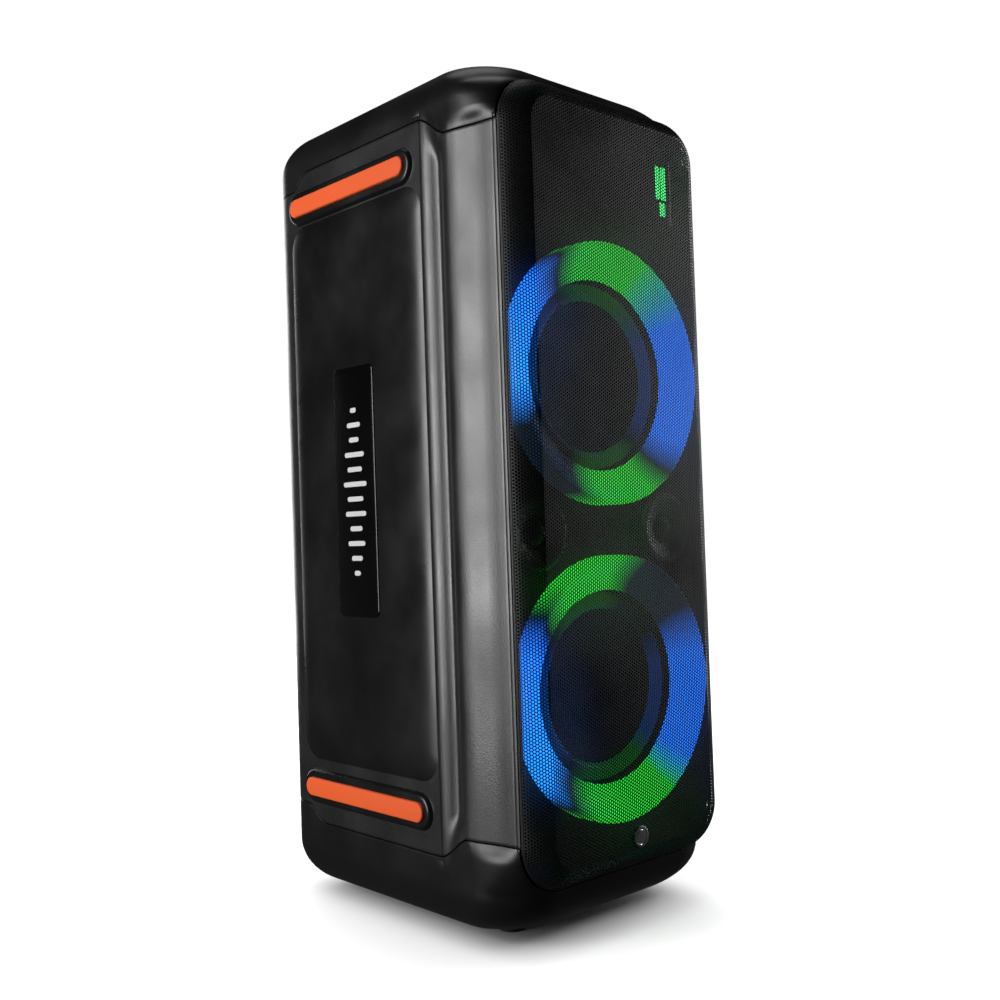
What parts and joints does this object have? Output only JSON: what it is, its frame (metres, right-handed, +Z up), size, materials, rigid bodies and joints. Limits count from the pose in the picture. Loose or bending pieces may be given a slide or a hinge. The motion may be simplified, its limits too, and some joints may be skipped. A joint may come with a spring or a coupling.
{
  "type": "party speaker",
  "caption": "Upright party speaker: perforated grille over light-ringed woofers and tweeters, moulded sides with rubber rails, top controls and a recessed grip.",
  "frame": {"origin": "on the floor, under the middle of the cabinet's bounding box", "axes": "+Z up; the grille faces -Y and the sockets face +Y; +X is on the right when looking at the grille"},
  "size_m": [0.2974, 0.375, 0.801],
  "materials": {
    "cap_plastic": "satin moulded plastic",
    "textured_shell": "fine-grained plastic with a metallic sheen",
    "satin_panel": "satin black plastic",
    "gloss_black": "glossy black plastic",
    "orange_rubber": "matte orange rubber",
    "black_rubber": "matte black rubber",
    "grille_steel": "black powder coat on perforated steel",
    "satin_silver": "satin silver",
    "inner_plastic": "dull black plastic",
    "light_diffuser": "translucent diffuser lit from behind",
    "cone_paper": "black pressed paper",
    "surround_rubber": "smooth black rubber",
    "stamped_steel": "dark stamped steel",
    "magnet_ferrite": "ferrite between steel plates",
    "coil_copper": "enamelled copper winding",
    "circuit_board": "green solder resist",
    "heat_sink_aluminium": "bare extruded aluminium",
    "battery_sleeve": "blue shrink sleeve"
  },
  "bodies": {
    "cabinet": {"top_cap": "cap_plastic", "bottom_cap": "cap_plastic", "carry_handle": "cap_plastic", "control_panel": "cap_plastic", "connector_panel": "cap_plastic", "port_tube": "cap_plastic", "side_shell_left": "textured_shell", "side_shell_right": "textured_shell", "rear_cover": "textured_shell", "side_panel_left": "satin_panel", "side_panel_right": "satin_panel", "side_badge_left": "gloss_black", "side_badge_right": "gloss_black", "usb_port": "gloss_black", "mains_inlet": "gloss_black", "display_module": "gloss_black", "side_foot_upper_left": "orange_rubber", "side_foot_lower_left": "orange_rubber", "side_foot_upper_right": "orange_rubber", "side_foot_lower_right": "orange_rubber", "base_foot_front_left": "black_rubber", "base_foot_front_right": "black_rubber", "base_foot_rear_left": "black_rubber", "base_foot_rear_right": "black_rubber", "grille": "grille_steel", "front_emblem": "satin_silver", "grille_frame": "inner_plastic", "front_baffle": "inner_plastic", "upper_light_ring": "light_diffuser", "lower_light_ring": "light_diffuser", "upper_surround": "surround_rubber", "lower_surround": "surround_rubber", "tweeter_dome_left": "surround_rubber", "tweeter_dome_right": "surround_rubber", "upper_basket": "stamped_steel", "lower_basket": "stamped_steel", "tweeter_left": "stamped_steel", "tweeter_right": "stamped_steel", "mic_jack": "stamped_steel", "guitar_jack": "stamped_steel", "upper_magnet": "magnet_ferrite", "lower_magnet": "magnet_ferrite", "amp_board": "circuit_board", "power_supply": "circuit_board", "heat_sink": "heat_sink_aluminium", "battery_pack": "battery_sleeve"},
    "upper_cone_body": {"upper_cone": "cone_paper", "upper_voice_coil": "coil_copper"},
    "lower_cone_body": {"lower_cone": "cone_paper", "lower_voice_coil": "coil_copper"},
    "volume_knob_body": {"volume_knob": "gloss_black"},
    "mic_knob_body": {"mic_knob": "gloss_black"},
    "echo_knob_body": {"echo_knob": "gloss_black"},
    "power_button_body": {"power_button": "black_rubber"},
    "mode_button_body": {"mode_button": "black_rubber"},
    "previous_button_body": {"previous_button": "black_rubber"},
    "play_button_body": {"play_button": "black_rubber"},
    "next_button_body": {"next_button": "black_rubber"},
    "light_button_body": {"light_button": "black_rubber"},
    "mains_switch_body": {"mains_switch": "gloss_black"}
  },
  "joints": [
    {"name": "upper_cone_stroke", "type": "slide", "parent": "cabinet", "child": "upper_cone_body", "axis": [0, -1, 0], "range_m": [-0.005, 0.005], "stiffness_N_per_m": 2500, "deforming": ["upper_surround"]},
    {"name": "lower_cone_stroke", "type": "slide", "parent": "cabinet", "child": "lower_cone_body", "axis": [0, -1, 0], "range_m": [-0.005, 0.005], "stiffness_N_per_m": 2500, "deforming": ["lower_surround"]},
    {"name": "volume_knob_turn", "type": "hinge", "parent": "cabinet", "child": "volume_knob_body", "pos_m": [0, -0.045, 0.7865], "axis": [0, 0, 1], "range_deg": [-150, 150]},
    {"name": "mic_knob_turn", "type": "hinge", "parent": "cabinet", "child": "mic_knob_body", "pos_m": [-0.055, -0.045, 0.7865], "axis": [0, 0, 1], "range_deg": [-150, 150]},
    {"name": "echo_knob_turn", "type": "hinge", "parent": "cabinet", "child": "echo_knob_body", "pos_m": [0.055, -0.045, 0.7865], "axis": [0, 0, 1], "range_deg": [-150, 150]},
    {"name": "power_button_press", "type": "slide", "parent": "cabinet", "child": "power_button_body", "axis": [0, 0, -1], "range_m": [0, 0.0012], "stiffness_N_per_m": 400},
    {"name": "mode_button_press", "type": "slide", "parent": "cabinet", "child": "mode_button_body", "axis": [0, 0, -1], "range_m": [0, 0.0012], "stiffness_N_per_m": 400},
    {"name": "previous_button_press", "type": "slide", "parent": "cabinet", "child": "previous_button_body", "axis": [0, 0, -1], "range_m": [0, 0.0012], "stiffness_N_per_m": 400},
    {"name": "play_button_press", "type": "slide", "parent": "cabinet", "child": "play_button_body", "axis": [0, 0, -1], "range_m": [0, 0.0012], "stiffness_N_per_m": 400},
    {"name": "next_button_press", "type": "slide", "parent": "cabinet", "child": "next_button_body", "axis": [0, 0, -1], "range_m": [0, 0.0012], "stiffness_N_per_m": 400},
    {"name": "light_button_press", "type": "slide", "parent": "cabinet", "child": "light_button_body", "axis": [0, 0, -1], "range_m": [0, 0.0012], "stiffness_N_per_m": 400},
    {"name": "mains_switch_rock", "type": "hinge", "parent": "cabinet", "child": "mains_switch_body", "pos_m": [-0.045, 0.18, 0.145], "axis": [1, 0, 0], "range_deg": [0, 14]}
  ]
}
